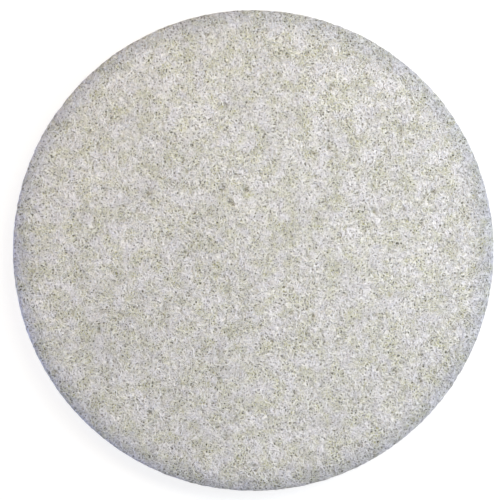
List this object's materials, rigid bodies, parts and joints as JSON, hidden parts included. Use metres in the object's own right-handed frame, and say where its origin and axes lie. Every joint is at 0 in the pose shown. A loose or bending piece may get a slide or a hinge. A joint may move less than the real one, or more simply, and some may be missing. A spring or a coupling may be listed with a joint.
{
  "type": "floor polishing pad",
  "caption": "Round white nonwoven fibre pad, gripped on one face by a floor machine's driver while the other buffs a hard floor.",
  "frame": {"origin": "centre of the face that the pad lies on", "axes": "+Z through the thickness, from the face that lies on the floor to the face that the driver grips; X and Y lie in the face, which has no front"},
  "size_m": [0.432, 0.432, 0.025],
  "materials": {
    "nonwoven_web": "open lofty nonwoven of resin-bonded white synthetic fibre, matt"
  },
  "bodies": {
    "root": {"pad": "nonwoven_web"}
  },
  "joints": []
}
